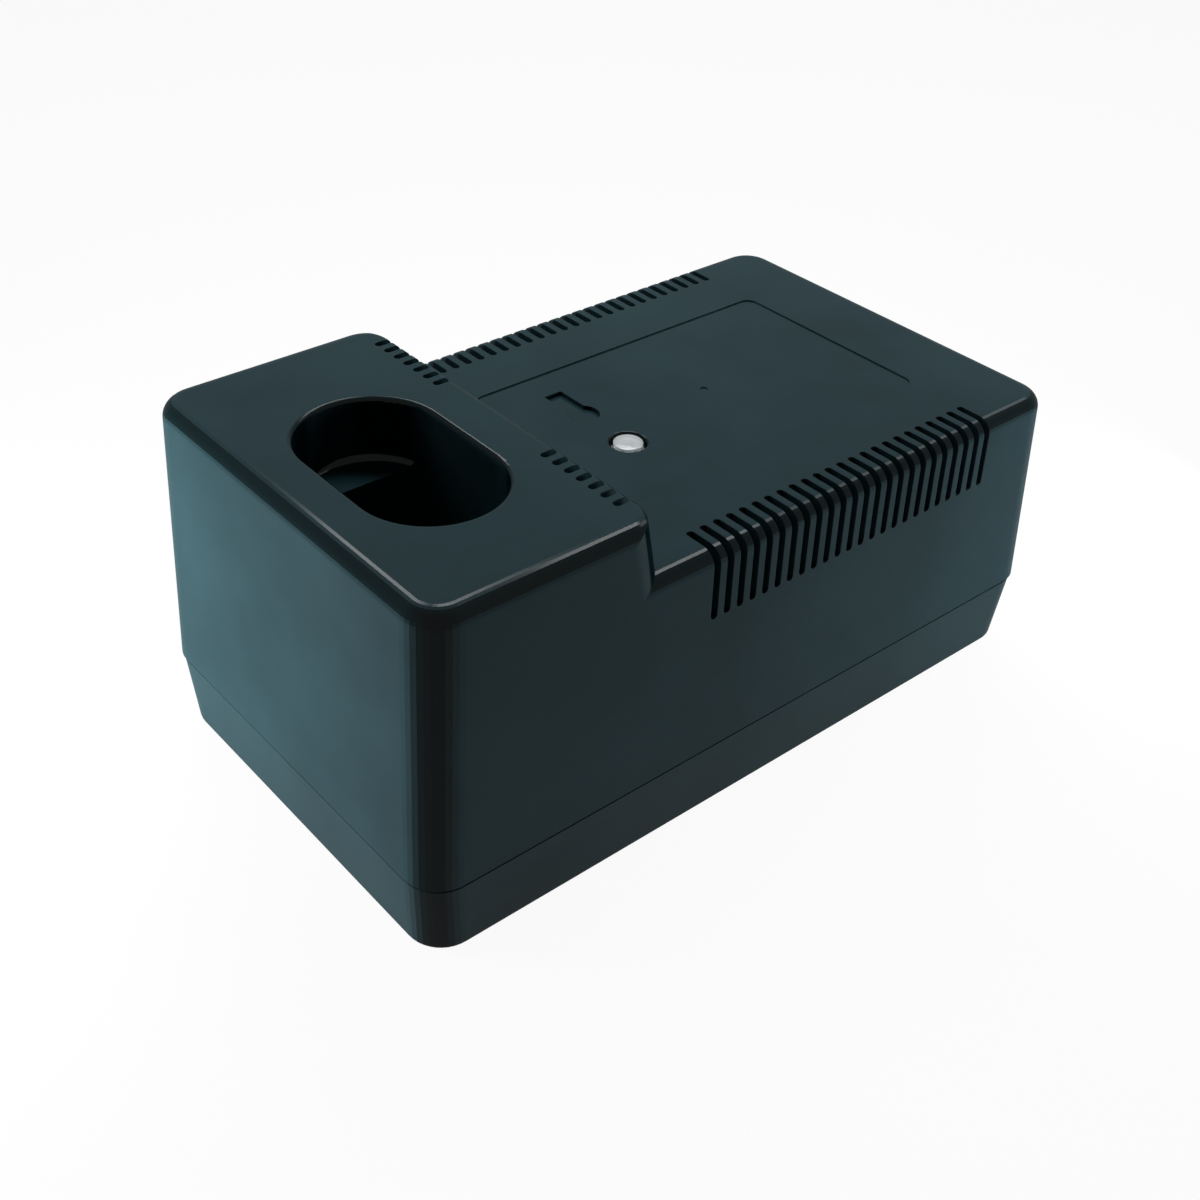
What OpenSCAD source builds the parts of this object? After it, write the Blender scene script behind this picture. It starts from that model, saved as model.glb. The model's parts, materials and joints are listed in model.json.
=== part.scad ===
// Mains charger for a stem-type power tool battery.
// Lengths in mm, angles in degrees. X runs along the housing, Z is up, z = 0 is under the rubber feet.

/* [Housing] */

// Length at the parting line
body_l = 200; // [198:1:212]
// Width at the parting line
body_w = 112.5; // [111:0.5:120]
// Height of the parting line above the bench
seam_h = 22.5; // [20:0.5:24]
// Height of the lower deck
deck_h = 78.5; // [77:0.5:84]
// Height of the head that holds the battery
head_h = 93.3; // [91:0.5:100]
// Length of the head, from the near end to its rear top edge
head_l = 62.2; // [60:0.2:64]
// Wall of both mouldings
wall = 2.8; // [2.4:0.1:3.2]
// Radius of the upright corners
corner_r = 9.2; // [7:0.2:12]
// Radius of those at the far end
far_corner_r = 8.5; // [6:0.25:12]
// Radius along the top edges
edge_r = 4; // [3.2:0.2:5]
// Radius along the edge under the tray
tray_edge_r = 2; // [1:0.25:3]
// Draft of the near end face
near_draft = 1.96; // [1:0.02:3]
// Draft of the long sides
side_draft = 1.23; // [0.5:0.01:2]
// Draft of the far end face
far_draft = 3.35; // [2:0.05:4]
// Draft of the tray, below the parting line
tray_draft = 4.5; // [2:0.1:6]
// Slope of the head's rear wall
rear_slope = 11; // [6:0.5:14]
// Radius of the head's rear upright corners
rear_corner_r = 9; // [5:0.25:9.5]
// Radius of the head's rear top edge
rear_edge_r = 1.7; // [0.5:0.1:2]
// How far the tray stands in from the shell at the parting line
tray_inset = 0.3; // [0.1:0.05:0.6]
// Height of the shadow gap at the parting line
gap_h = 0.9; // [0.4:0.1:1.2]
// Depth of the shadow gap
gap_in = 0.5; // [0.3:0.1:0.8]
// Height of the tray's lip inside the shell
lip_h = 2.5; // [1.5:0.25:4]
// Clearance between the lip and the shell
lip_gap = 0.2; // [0.1:0.05:0.4]

/* [Battery well] */

// From the near end to the middle of the well
well_in = 32.7; // [32:0.1:34]
// Middle of the well across the head
well_y = -1.9; // [-4:0.1:4]
// Bore along X
well_w = 33.8; // [30:0.2:35]
// Bore along Y
well_l = 56.4; // [53:0.2:58]
// Rounding of the rim
rim_r = 1.2; // [0.8:0.1:2]
// Wall of the well
tube_wall = 2.5; // [2:0.1:3]
// Depth of the ledge under the head's top
ledge_drop = 16.3; // [10:0.5:25]
// From the middle of the well to the edge of the ledge
ledge_in = 17.1; // [15:0.1:20]
// Fillet between ledge and wall
ledge_r = 2.5; // [1.5:0.25:3.5]
// Height of the well's lower end above the bench
well_end = 25.2; // [24:0.2:28]

/* [Vents] */

// Width of each vent slot
slot_w = 2; // [1.5:0.1:2.5]
// Distance from slot to slot
slot_pitch = 4; // [3.6:0.1:4.2]
// Slots along each side of the deck
side_slots = 24; // [12:1:24]
// From the near end to the first side slot
side_slot_in = 78.7; // [77:0.1:82]
// How far a side slot reaches in from the deck's edge
slot_reach = 9.85; // [8:0.25:12]
// How far a side slot runs down the side
slot_drop = 17.8; // [12:0.5:24]
// Slots in each group behind the head
rear_slots = 7; // [4:1:7]
// From the middle of the head to the first rear slot
rear_slot_y = 20; // [16:0.5:22]
// Length of a rear slot on top of the head
rear_slot_l = 4.8; // [3:0.1:6]
// How far a rear slot runs down the rear wall
rear_slot_drop = 11; // [6:0.5:12]
// Slots in the tray's floor
floor_slots = 10; // [6:1:11]
// Length of a floor slot
floor_slot_l = 44; // [30:1:50]

/* [Deck] */

// From the near end to the label recess
label_in = 76; // [72:0.5:80]
// Label recess along X
label_l = 96; // [80:1:100]
// Label recess along Y
label_w = 60; // [50:1:64]
// Corner of the label recess
label_r = 3; // [2:0.5:5]
// Depth of the label recess
label_d = 0.35; // [0.2:0.05:0.5]
// Place of the indicator as a share of the length, from the near end
led_share = 0.4695; // [0.45:0.005:0.48]
// Indicator across the deck
led_y = -8; // [-10:0.5:-7]
// Diameter of the lens
lens_d = 7.2; // [7:0.1:7.6]
// Hole in the deck round the lens
lens_hole_d = 8.7; // [8.4:0.1:9.4]
// Rounding of that hole
lens_rim_r = 0.9; // [0.5:0.1:1.2]
// How far the dome stands above the deck
lens_proud = 0.3; // [0.1:0.1:1]
// Height of the dome itself
lens_dome_h = 0.4; // [0.2:0.1:1]
// Round part of the keyhole recess across the deck
key_y = 8.6; // [5:0.2:10]
// Radius of that round part
key_r = 4; // [3:0.2:4.6]
// Width of the keyhole's neck
key_w = 5.2; // [3:0.2:6]
// Length of the keyhole's neck, from the middle of the round part
key_l = 12.1; // [8:0.5:14]
// Depth of the keyhole recess
key_d = 1; // [0.6:0.1:1.2]
// From the near end to the gate mark
gate_in = 126.4; // [110:0.2:140]
// Diameter of the gate mark
gate_d = 2; // [1:0.25:3]

/* [Contacts] */

// Thickness of the contact block's plate
block_t = 3; // [2.4:0.2:4]
// Height of the block's plug inside the well
plug_h = 1.5; // [1:0.25:2]
// Clearance between the plug and the well
plug_gap = 0.2; // [0.1:0.05:0.3]
// Distance between the leaves
leaf_pitch = 11; // [10:0.5:11.5]
// Middle leaf across the head
leaf_y = -7; // [-8:0.5:-6]
// Width of a leaf
leaf_w = 5; // [4:0.25:6]
// Thickness of a leaf
leaf_t = 0.5; // [0.4:0.05:0.7]
// From the middle of the well to the leaves' roots
leaf_in = 11; // [10:0.25:11.5]
// Radius of a leaf's rolled root
root_r = 1.2; // [1:0.05:1.4]
// Clearance round the rolled root
root_gap = 0.05; // [0.03:0.01:0.08]
// Height of the roots above the plug
root_h = 2; // [1.8:0.1:2.4]
// Length of a leaf up to its crown
leaf_l = 15.5; // [13:0.5:17]
// Rise of a leaf towards its crown
leaf_rise = 14; // [12:0.5:16]
// Length of a leaf's tip past the crown
tip_l = 4; // [3:0.25:5]
// Fall of the tip
tip_fall = 35; // [25:1:45]
// Width of a solder tail
tail_w = 3; // [2:0.25:4]
// Length of a solder tail under the block
tail_l = 8; // [5:0.5:9]

/* [Board] */

// From the near end to the board
board_in = 58; // [57:0.5:60]
// From the board to the winding form
core_gap = 3.5; // [3:0.25:5]
// Board across
board_w = 92; // [88:1:96]
// Thickness of the board
board_t = 1.6; // [1.2:0.1:2]
// Height of the board's underside
board_h = 40; // [38:0.5:44]
// From the board's edge to its screws
board_screw_in = 4; // [3.8:0.1:5]
// Diameter of the posts under the board
board_post_d = 7; // [6:0.25:7.5]
// Thread of the board screws
board_screw_d = 3; // [2.6:0.1:3.2]
// Length of the board screws
board_screw_l = 8; // [6:0.5:12]
// Diameter of the lamp
led_d = 5; // [4.6:0.1:5.2]
// Clearance between lamp and lens
led_gap = 0.4; // [0.3:0.05:0.6]

/* [Parts on the board] */

// From the board's edge to the parts on it
edge_gap = 2; // [1.5:0.25:3]
// Heat sink across the housing
heat_l = 36; // [32:1:36.5]
// Depth of the heat sink with its fins
heat_w = 9.5; // [8:0.25:10]
// Height of the heat sink
heat_h = 26; // [20:1:30]
// Back plate of the heat sink
heat_back = 2.5; // [2:0.25:3]
// Thickness of its fins
fin_t = 1.2; // [1:0.1:1.5]
// Middle of the heat sink across the housing
heat_y = 13.5; // [13.5:0.5:14.5]
// Width of the power transistor
transistor_w = 10; // [9:0.25:10.5]
// Thickness of the power transistor
transistor_t = 4.4; // [4:0.1:4.7]
// Height of the power transistor
transistor_h = 15.5; // [14:0.5:17]
// Height of standing parts above the board
leg_h = 3.5; // [2.5:0.25:4.5]
// Width of the rectifier
bridge_w = 22; // [20:0.5:23]
// Height of the rectifier
bridge_h = 18; // [15:0.5:20]
// Thickness of the rectifier
bridge_t = 3.6; // [3:0.1:4]
// Middle of the rectifier across the housing
bridge_y = -28; // [-28.5:0.5:-27]
// Diameter of the smoothing capacitor
cap_d = 16; // [14:0.5:17]
// Height of the smoothing capacitor
cap_h = 26; // [22:1:30]
// Middle of the capacitor across the housing
cap_y = -22; // [-23:0.5:-21]
// Relay along X
relay_l = 19; // [17:0.5:20]
// Relay across the housing
relay_w = 15.5; // [14:0.5:16.5]
// Height of the relay
relay_h = 15.4; // [13:0.2:18]
// Middle of the relay across the housing
relay_y = 20; // [19:0.5:22]
// Control chip along X
chip_l = 19.6; // [17.5:0.1:20]
// Control chip across the housing
chip_w = 6.4; // [6:0.1:6.8]
// Thickness of the control chip
chip_t = 3.4; // [3:0.1:4]
// Middle of the chip across the housing
chip_y = 36.3; // [36.2:0.1:36.6]
// Length of a resistor's body
resistor_l = 6.6; // [6:0.2:7]
// Thickness of a resistor's body
resistor_d = 2.6; // [2.2:0.1:2.8]
// Middle of the resistors across the housing
resistor_y = 2; // [1:0.5:3]
// Length of the fuse
fuse_l = 20; // [19:0.5:20]
// Diameter of the fuse's caps
fuse_d = 5.2; // [5:0.1:5.3]
// Middle of the fuse across the housing
fuse_y = -36; // [-36:0.5:-35]
// Height of the fuse above the board
fuse_up = 5; // [4:0.25:6]

/* [Transformer] */

// From the far end to the middle of the core
core_in = 55; // [54.5:0.5:56]
// Core across the housing
core_w = 66; // [62:1:68]
// Core height
core_h = 55; // [52:0.5:57]
// Thickness of the core's stack
core_t = 34; // [28:1:36]
// Width of the middle leg
leg_w = 22; // [20:0.5:23]
// Height of the core above the tray's floor
core_lift = 3; // [2:0.5:4]
// Wall of the winding form
form_t = 1.2; // [0.9:0.1:1.6]
// Clearance between core and winding form
form_gap = 0.3; // [0.2:0.05:0.5]
// How far the winding form reaches out of the core
form_out = 10.5; // [9:0.5:10.5]
// Steel of the frame over the core
frame_t = 1.2; // [0.8:0.1:1.6]
// Width of the frame
frame_w = 30; // [24:1:34]
// Length of the frame's feet
foot_l = 12; // [11:0.5:13]
// Distance between the two screws of one foot
foot_pitch = 18; // [14:1:20]
// Thread of the transformer screws
core_screw_d = 3.5; // [3:0.1:4]
// Length of the transformer screws: they end in the bosses
core_screw_l = 3.6; // [3:0.2:3.8]

/* [Inlet] */

// Height of the inlet
inlet_h = 36; // [34:0.5:42]
// Inlet body across
inlet_w = 21; // [19.5:0.5:24]
// Inlet body height
inlet_t = 13.6; // [12.6:0.2:16]
// Depth of the inlet body from its face
inlet_l = 15; // [14:0.5:16]
// Clearance round the inlet
inlet_gap = 0.15; // [0.1:0.05:0.3]
// Width of the socket
socket_w = 15.9; // [15.6:0.1:16.4]
// Height of the socket
socket_t = 8.6; // [8.3:0.1:9]
// Depth of the socket
socket_l = 11; // [10:0.5:12]
// Diameter of the pins
pin_d = 2.37; // [2.3:0.01:2.4]
// Length of the tags behind the pins
pin_tail = 5; // [4.5:0.25:5.5]
// Distance between the pins
pin_pitch = 8.6; // [8.4:0.1:8.8]
// How far the face lies behind the shell's end face
inlet_sink = 0.5; // [0.2:0.1:1]

/* [Fasteners and feet] */

// From the ends to the housing screws
screw_in_x = 12.5; // [12:0.1:13.5]
// From the sides to the housing screws
screw_in_y = 12.5; // [12:0.1:13.5]
// Thread of the housing screws
screw_d = 4; // [3.5:0.1:4.2]
// Length of the housing screws
screw_l = 25; // [18:1:34]
// Head of the housing screws
screw_head_d = 7.6; // [7:0.1:8]
// Height of that head
screw_head_h = 2.6; // [2:0.1:3.2]
// Height of the seat under that head
screw_seat_h = 12; // [9:0.5:14]
// Diameter of the screw bosses
boss_d = 9; // [8.6:0.1:10]
// From the ends to the rubber feet
foot_in_x = 29; // [27:0.5:34]
// From the sides to the rubber feet
foot_in_y = 14; // [13:0.5:18]
// Diameter of the rubber feet
foot_d = 14; // [11:0.5:15]
// How far the feet stand below the tray
foot_out = 1.2; // [1:0.1:2]
// How deep the feet sit in the tray
foot_sink = 0.8; // [0.5:0.1:1]

/* [Leads] */

// Diameter of the mains and transformer leads
lead_d = 2; // [1.6:0.1:2.4]
// Diameter of the contact leads
thin_lead_d = 1.6; // [1.2:0.1:2]

/* [Hidden] */

$fn = 40;
x0 = -body_l / 2;
x1 = body_l / 2;
tray_h = foot_out;
floor_h = tray_h + wall;
deck_in_h = deck_h - wall;
head_in_h = head_h - wall;
well_x = x0 + well_in;
well_r = well_w / 2;
ledge_h = head_h - ledge_drop;
ledge_y = well_y + ledge_in;
block_h = well_end - block_t;
plug_top = well_end + plug_h;
root_x = well_x - leaf_in;
root_z = plug_top + root_h;
leaf_ys = [leaf_y - leaf_pitch, leaf_y, leaf_y + leaf_pitch];
bore_r = root_r + root_gap;
led_x = x0 + led_share * body_l;
label_h = deck_h - label_d;
lens_flange_t = 1.2;
lens_flange_d = lens_hole_d + 2.6;
board_x = x0 + board_in;
board_top = board_h + board_t;
led_base = deck_in_h - 8.4;
core_x = x1 - core_in;
core_low = floor_h + core_lift;
core_top = core_low + core_h;
side_leg = leg_w / 2;
window_w = (core_w - 2 * leg_w) / 2;
window_h = core_h - 2 * side_leg;
form_x = core_t / 2 + form_out;
form_y = leg_w / 2 + window_w - form_gap;
form_low = core_low + side_leg + form_gap;
form_h = window_h - 2 * form_gap;
form_mid = form_low + form_h / 2;
board_l = core_x - form_x - core_gap - board_x;
board_screw_x = [board_x + board_screw_in, board_x + board_l - board_screw_in];
board_screw_y = board_w / 2 - board_screw_in;
inlet_face = far_x(inlet_h + inlet_t / 2) - inlet_sink;
inlet_back = inlet_face - inlet_l;
collar_x = inlet_back + 2;
tail_end = block_h - tail_l;
wire_steps = 6;

// Where the outer faces lie at height z
function near_x(z) = x0 + (z - seam_h) * tan(near_draft);
function far_x(z) = x1 - (z - seam_h) * tan(far_draft);
function side_y(z) = body_w / 2 - (z - seam_h) * tan(side_draft);
function rear_x(z) = x0 + head_l + (head_h - z) * tan(rear_slope);
function tray_in(z) = tray_inset + (seam_h - z) * tan(tray_draft);

// Disc with a rounded upper edge
module cap(r, edge) {
    rotate_extrude()
        polygon(concat([[0, 0]], [for (a = [0:11.25:90]) [r - edge + edge * cos(a), edge * sin(a)]], [[0, edge]]));
}

// Drafted block from low to top, each end given as [x at low, x at the top edge], set in from the outer faces
module drafted(near, far, low, top, in, edge) {
    r = corner_r - in;
    f = far_corner_r - in;
    z = top - edge;
    hull()
        for (s = [-1, 1]) {
            translate([near[0] + r, s * (side_y(low) - in - r), low]) cylinder(r1 = r, r2 = r - 1, h = 1);
            translate([far[0] - f, s * (side_y(low) - in - f), low]) cylinder(r1 = f, r2 = f - 1, h = 1);
            translate([near[1] + r, s * (side_y(z) - in - r), z]) cap(r, edge);
            translate([far[1] - f, s * (side_y(z) - in - f), z]) cap(f, edge);
        }
}

// Tray form from the bottom up to a height, set in from its outer faces
module tray_form(low, top, in, edge) {
    z = low + edge;
    hull()
        for (s = [-1, 1], t = [-1, 1]) {
            r = (t < 0 ? corner_r : far_corner_r) - in;
            translate([t * (x1 - tray_in(z) - in - r), s * (body_w / 2 - tray_in(z) - in - r), z])
                mirror([0, 0, 1]) cap(r, edge);
            translate([t * (x1 - tray_in(top) - in - r), s * (body_w / 2 - tray_in(top) - in - r), top])
                cylinder(r = r, h = 1);
        }
}

// Everything in front of the head's rear wall, moved forward by "in"
module before_rear(in) {
    translate([rear_x(head_h) - in / cos(rear_slope), 0, head_h])
        rotate([0, -rear_slope, 0])
            translate([-body_l, -body_w, -2 * head_h]) cube([body_l, 2 * body_w, 3 * head_h]);
}

// What an edge of radius r loses, along Z, with the solid towards -X and -Y
module edge_waste(r, l) {
    translate([-r, -r, 0])
        difference() {
            cube([r + 1, r + 1, l]);
            translate([0.03, 0.03, -1]) cylinder(r = r, h = l + 2);
        }
}

// Head above the level where the deck's rounding starts
module head_block() {
    low = deck_h - edge_r;
    difference() {
        intersection() {
            drafted([near_x(low), near_x(head_h - edge_r)], [0, 0], low, head_h, 0, edge_r);
            before_rear(0);
        }
        rear_corner_waste(0);
        rear_corner_roll();
        rear_top_waste();
    }
}

// What the head's rear upright corners lose, set in from the outer faces
module rear_corner_waste(in) {
    for (s = [0, 1])
        mirror([0, s, 0])
            translate([rear_x(deck_h) - in / cos(rear_slope), side_y(deck_h) - in, deck_h])
                rotate([side_draft, -rear_slope, 0])
                    translate([0, 0, -8]) edge_waste(rear_corner_r - in, head_h - deck_h + 12);
}

// Section of what the head's rear top edge loses, seen from the axis of a rear corner
module top_edge_section() {
    r = rear_edge_r;
    c = [rear_corner_r / cos(rear_slope) - r * (1 - sin(rear_slope)) / cos(rear_slope), -r];
    e = c + r * [sin(72), cos(72)];
    polygon(concat([for (a = [0:18:72]) c + r * [sin(a), cos(a)]],
        [e + 3 * r * [cos(72), -sin(72)], [c[0] + 5 * r, e[1] - 3 * r * sin(72)], [c[0] + 5 * r, r], [c[0], r]]));
}

// What the rounding of the head's rear top edge removes, round the corners too
module rear_top_waste() {
    a = [rear_x(head_h) - rear_corner_r / cos(rear_slope), side_y(head_h) - rear_corner_r];
    translate([a[0], body_w / 2, head_h]) rotate([90, 0, 0]) linear_extrude(body_w) top_edge_section();
    for (s = [0, 1])
        mirror([0, s, 0])
            translate([a[0], a[1], head_h]) rotate_extrude(angle = 90) top_edge_section();
}

// What the side's top rounding removes as it runs out round the head's rear corners
module rear_corner_roll() {
    r = rear_corner_r;
    i = r - edge_r;
    z = head_h - edge_r;
    x = rear_x(head_h) - i - 0.8 * rear_edge_r;
    for (s = [0, 1])
        mirror([0, s, 0])
            translate([x, side_y(z) - r, z])
                rotate_extrude(angle = 90)
                    polygon(concat([for (a = [0:11.25:90]) [i + edge_r * cos(a), edge_r * sin(a)]],
                        [[i, edge_r + 1], [r + 2, edge_r + 1], [r + 2, 0]]));
}

module shell_outside() {
    z = deck_h - edge_r;
    drafted([x0, near_x(z)], [x1, far_x(z)], seam_h, deck_h, 0, edge_r);
    head_block();
}

module shell_inside() {
    low = seam_h - 1;
    e = max(edge_r - wall, 0.5);
    z = deck_in_h - e;
    drafted([near_x(low) + wall, near_x(z) + wall], [far_x(low) - wall, far_x(z) - wall], low, deck_in_h, wall, e);
    difference() {
        intersection() {
            drafted([near_x(z) + wall, near_x(head_in_h - e) + wall], [0, 0], z, head_in_h, wall, e);
            before_rear(wall);
        }
        rear_corner_waste(wall);
    }
}

// Groove inside the shell's lower edge, for the tray's lip
module lip_groove() {
    low = seam_h - 1;
    top = seam_h + lip_h + lip_gap;
    in = lip_in() - lip_gap;
    drafted([near_x(low) + in, near_x(top - 0.3) + in], [far_x(low) - in, far_x(top - 0.3) - in], low, top, in, 0.3);
}

function lip_in() = tray_inset + wall * 0.57;

// Outline of the well, grown by d, with a flat on its ledge side when cut is true
module well_outline(d, cut) {
    difference() {
        union() {
            for (s = [-1, 1])
                translate([well_x, well_y + s * (well_l / 2 - well_r)]) circle(r = well_r + d);
            translate([well_x - well_r - d, well_y - well_l / 2 + well_r])
                square([2 * (well_r + d), well_l - 2 * well_r]);
        }
        if (cut)
            translate([well_x - well_w, ledge_y + d]) square([2 * well_w, well_l]);
    }
}

// Sweeps a profile, drawn at its distance from the well's middle line, round the well
module round_well() {
    s = well_l / 2 - well_r;
    translate([well_x, well_y + s, 0]) rotate_extrude(angle = 180) children();
    translate([well_x, well_y - s, 0]) rotate([0, 0, 180]) rotate_extrude(angle = 180) children();
    for (a = [0, 180])
        translate([well_x, well_y, 0])
            rotate([0, 0, a]) translate([0, s, 0]) rotate([90, 0, 0]) linear_extrude(2 * s) children();
}

module well_tube() {
    translate([0, 0, ledge_h - tube_wall])
        linear_extrude(head_h - wall / 2 - ledge_h + tube_wall) well_outline(tube_wall, false);
    translate([0, 0, well_end])
        linear_extrude(ledge_h - well_end) well_outline(tube_wall, true);
}

module well_bore() {
    difference() {
        translate([0, 0, ledge_h]) linear_extrude(ledge_drop + 1) well_outline(0, false);
        intersection() {
            translate([well_x, well_y + well_l / 2 - well_r, ledge_h])
                rotate_extrude()
                    difference() {
                        translate([well_r - ledge_r, -1]) square([ledge_r + 1, ledge_r + 1]);
                        translate([well_r - ledge_r, ledge_r]) circle(r = ledge_r);
                    }
            translate([well_x - well_w, ledge_y, 0]) cube([2 * well_w, well_l, head_h]);
        }
    }
    translate([0, 0, well_end - 1]) linear_extrude(ledge_h - well_end + 2) well_outline(0, true);
    round_well()
        difference() {
            translate([well_r - 1, head_h - rim_r]) square([rim_r + 1, rim_r + 1]);
            translate([well_r + rim_r, head_h - rim_r]) circle(r = rim_r);
        }
}

// Slot that wraps over one edge of the deck
module side_slot(x) {
    y = side_y(deck_h) - slot_reach + slot_w / 2;
    z = deck_h - slot_drop + slot_w / 2;
    translate([x, y, z]) cylinder(d = slot_w, h = deck_h);
    translate([x - slot_w / 2, y, z]) cube([slot_w, body_w, deck_h]);
    translate([x, y, z]) rotate([-90, 0, 0]) cylinder(d = slot_w, h = body_w);
}

// Slot over the head's rear edge
module rear_slot(y) {
    x = rear_x(head_h) - rear_slot_l + slot_w / 2;
    z = head_h - rear_slot_drop + slot_w / 2;
    translate([x, y, z]) cylinder(d = slot_w, h = head_h);
    translate([x, y - slot_w / 2, z]) cube([wall + 8, slot_w, head_h]);
    translate([x, y, z]) rotate([0, 90, 0]) cylinder(d = slot_w, h = wall + 8);
}

module vents() {
    for (i = [0:side_slots - 1], s = [0, 1])
        mirror([0, s, 0]) side_slot(x0 + side_slot_in + i * slot_pitch);
    for (i = [0:rear_slots - 1], s = [-1, 1])
        rear_slot(s * (rear_slot_y + i * slot_pitch));
}

module label_recess() {
    x = x0 + label_in;
    y = label_w / 2 - label_r;
    translate([0, 0, label_h]) {
        translate([x + label_r, -label_w / 2, 0]) cube([label_l - 2 * label_r, label_w, 1]);
        translate([x, -y, 0]) cube([label_l, 2 * y, 1]);
        for (a = [x + label_r, x + label_l - label_r], s = [-1, 1])
            translate([a, s * y, 0]) cylinder(r = label_r, h = 1);
    }
}

module keyhole_recess() {
    translate([led_x, key_y, label_h - key_d]) {
        cylinder(r = key_r, h = key_d + 1);
        translate([-key_w / 2, 0, 0]) cube([key_w, key_l, key_d + 1]);
    }
}

// Hole with a rounded upper edge
module lens_hole() {
    r = lens_hole_d / 2;
    translate([led_x, led_y, deck_in_h - 1]) cylinder(r = r, h = wall + 2);
    translate([led_x, led_y, label_h - lens_rim_r])
        rotate_extrude()
            difference() {
                translate([r - 0.5, 0]) square([lens_rim_r + 0.5, lens_rim_r + 0.5]);
                translate([r + lens_rim_r, 0]) circle(r = lens_rim_r);
            }
}

module screw_places() {
    for (s = [-1, 1]) {
        translate([x0 + screw_in_x, s * (body_w / 2 - screw_in_y), 0]) children();
        translate([x1 - screw_in_x, s * (body_w / 2 - screw_in_y), 0]) children();
    }
}

module shell_bosses() {
    for (s = [-1, 1]) {
        y = s * (body_w / 2 - screw_in_y);
        translate([x0 + screw_in_x, y, seam_h]) cylinder(d = boss_d, h = head_h - wall / 2 - seam_h);
        translate([x1 - screw_in_x, y, seam_h]) cylinder(d = boss_d, h = deck_h - wall / 2 - seam_h);
    }
}

// Ring that centres the lens under the deck
module lens_ring() {
    translate([led_x, led_y, deck_in_h - 2.4])
        difference() {
            cylinder(d = lens_flange_d + 3.4, h = 2.4 + wall / 2);
            translate([0, 0, -1]) cylinder(d = lens_flange_d + 0.2, h = 3.4);
        }
}

module inlet_collar(grow) {
    translate([collar_x, -inlet_w / 2 - grow, inlet_h - inlet_t / 2 - grow])
        cube([far_x(inlet_h + inlet_t) - wall / 3 - collar_x, inlet_w + 2 * grow, inlet_t + 2 * grow]);
}

module upper_shell() {
    color([0.07, 0.09, 0.09])
        difference() {
            union() {
                difference() {
                    shell_outside();
                    shell_inside();
                    lip_groove();
                }
                well_tube();
                shell_bosses();
                lens_ring();
                inlet_collar(2);
            }
            well_bore();
            vents();
            label_recess();
            keyhole_recess();
            lens_hole();
            translate([x0 + gate_in, 0, label_h - 0.25]) cylinder(d = gate_d, h = 1);
            screw_places() translate([0, 0, seam_h - 1]) cylinder(d = screw_d + 0.1, h = screw_l);
            translate([collar_x - 1, -inlet_w / 2 - inlet_gap, inlet_h - inlet_t / 2 - inlet_gap])
                cube([2 * inlet_l, inlet_w + 2 * inlet_gap, inlet_t + 2 * inlet_gap]);
        }
}

module board_posts(d, low, high) {
    for (x = board_screw_x, s = [-1, 1])
        translate([x, s * board_screw_y, low]) cylinder(d = d, h = high - low);
}

module core_screw_places() {
    for (s = [-1, 1], t = [-1, 1])
        translate([core_x + t * foot_pitch / 2, s * (core_w / 2 + frame_t + foot_l / 2), 0]) children();
}

module feet_places() {
    for (s = [-1, 1], t = [-1, 1])
        translate([t * (x1 - foot_in_x), s * (body_w / 2 - foot_in_y), 0]) children();
}

// Two walls that carry the contact block
module block_walls() {
    for (y = [well_y - well_l / 2 + 5, ledge_y - 5])
        translate([well_x - well_r + 2, y - 1.5, floor_h - 1]) cube([well_w - 4, 3, block_h - floor_h + 1]);
}

// Two uprights behind the inlet
module inlet_uprights() {
    for (s = [-1, 1])
        translate([inlet_back - 2.5, s * (inlet_w / 2 - 1) - 1.5, floor_h - 1])
            cube([2.5, 3, inlet_h + 3 - floor_h]);
}

module base_tray() {
    color([0.06, 0.08, 0.08])
        difference() {
            union() {
                difference() {
                    union() {
                        intersection() {
                            tray_form(tray_h, seam_h, 0, tray_edge_r);
                            translate([-body_l, -body_w, 0]) cube([2 * body_l, 2 * body_w, seam_h - gap_h]);
                        }
                        intersection() {
                            tray_form(tray_h, seam_h, gap_in, tray_edge_r);
                            translate([-body_l, -body_w, floor_h]) cube([2 * body_l, 2 * body_w, seam_h - floor_h]);
                        }
                        tray_lip();
                    }
                    tray_form(floor_h, seam_h + lip_h + 1, wall, 1);
                }
                screw_places() translate([0, 0, floor_h - 1]) cylinder(d = boss_d + 3, h = seam_h - floor_h + 1);
                board_posts(board_post_d, floor_h - 1, board_h);
                core_screw_places() translate([0, 0, floor_h - 1]) cylinder(d = 8, h = core_lift + 1);
                for (s = [-1, 1])
                    translate([core_x - core_t / 2, s * (core_w / 2 - 4) - 2, floor_h - 1])
                        cube([core_t, 4, core_lift + 1]);
                block_walls();
                inlet_uprights();
            }
            screw_places() {
                translate([0, 0, -1]) cylinder(d = screw_head_d + 0.8, h = screw_seat_h + 1);
                cylinder(d = screw_d + 0.5, h = seam_h + 1);
            }
            board_posts(board_screw_d + 0.1, board_h - board_screw_l, board_h + 1);
            core_screw_places()
                translate([0, 0, core_low - core_screw_l]) cylinder(d = core_screw_d + 0.1, h = core_screw_l + 1);
            feet_places() translate([0, 0, -1]) cylinder(d = foot_d + 0.2, h = tray_h + foot_sink + 1);
            for (i = [0:floor_slots - 1])
                translate([board_x + board_l / 2 + (i - (floor_slots - 1) / 2) * slot_pitch, 0, 0])
                    floor_slot();
        }
}

module tray_lip() {
    low = seam_h - gap_h - 1;
    top = seam_h + lip_h;
    in = lip_in();
    drafted([near_x(low) + in, near_x(top - 0.3) + in], [far_x(low) - in, far_x(top - 0.3) - in], low, top, in, 0.3);
}

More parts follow.
